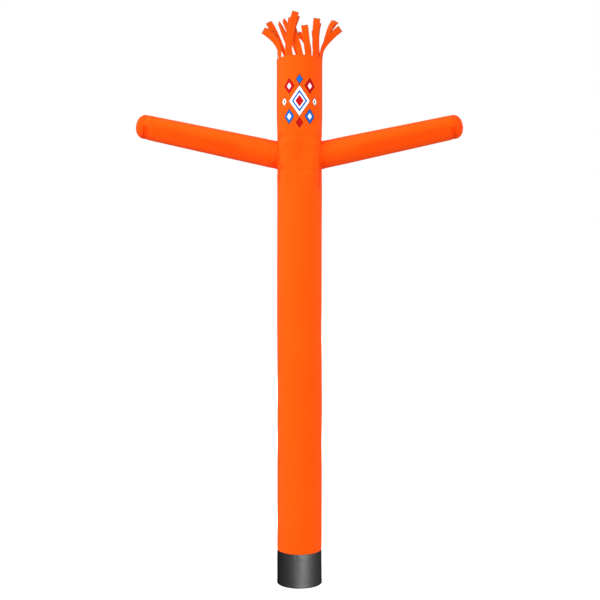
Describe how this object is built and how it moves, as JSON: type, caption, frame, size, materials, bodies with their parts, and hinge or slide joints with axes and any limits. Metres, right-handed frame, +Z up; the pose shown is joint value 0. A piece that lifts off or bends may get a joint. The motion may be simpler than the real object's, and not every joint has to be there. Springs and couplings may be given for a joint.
{
  "type": "inflatable air dancer",
  "caption": "Tall orange inflatable air dancer, blown up: an upright cloth tube on a black base cuff, with two raised arms, domed arm ends and a ring of streamers for hair.",
  "frame": {"origin": "middle of the foot, on the ground, under the tube's axis", "axes": "+Z up along the tube, the face looks along -Y, the arms reach along -X and +X"},
  "size_m": [3.3482, 0.5097, 5.8169],
  "materials": {
    "orange_cloth": "satin",
    "black_cuff_cloth": "satin"
  },
  "bodies": {
    "root": {"base_cuff": "black_cuff_cloth", "lower_tube": "orange_cloth", "chest_panel": "orange_cloth", "head_tube": "orange_cloth", "arm_left_inner": "orange_cloth", "arm_left_mid": "orange_cloth", "arm_left_outer": "orange_cloth", "arm_right_inner": "orange_cloth", "arm_right_mid": "orange_cloth", "arm_right_outer": "orange_cloth", "arm_cap_left": "orange_cloth", "arm_cap_right": "orange_cloth", "hair": "orange_cloth"}
  },
  "joints": []
}
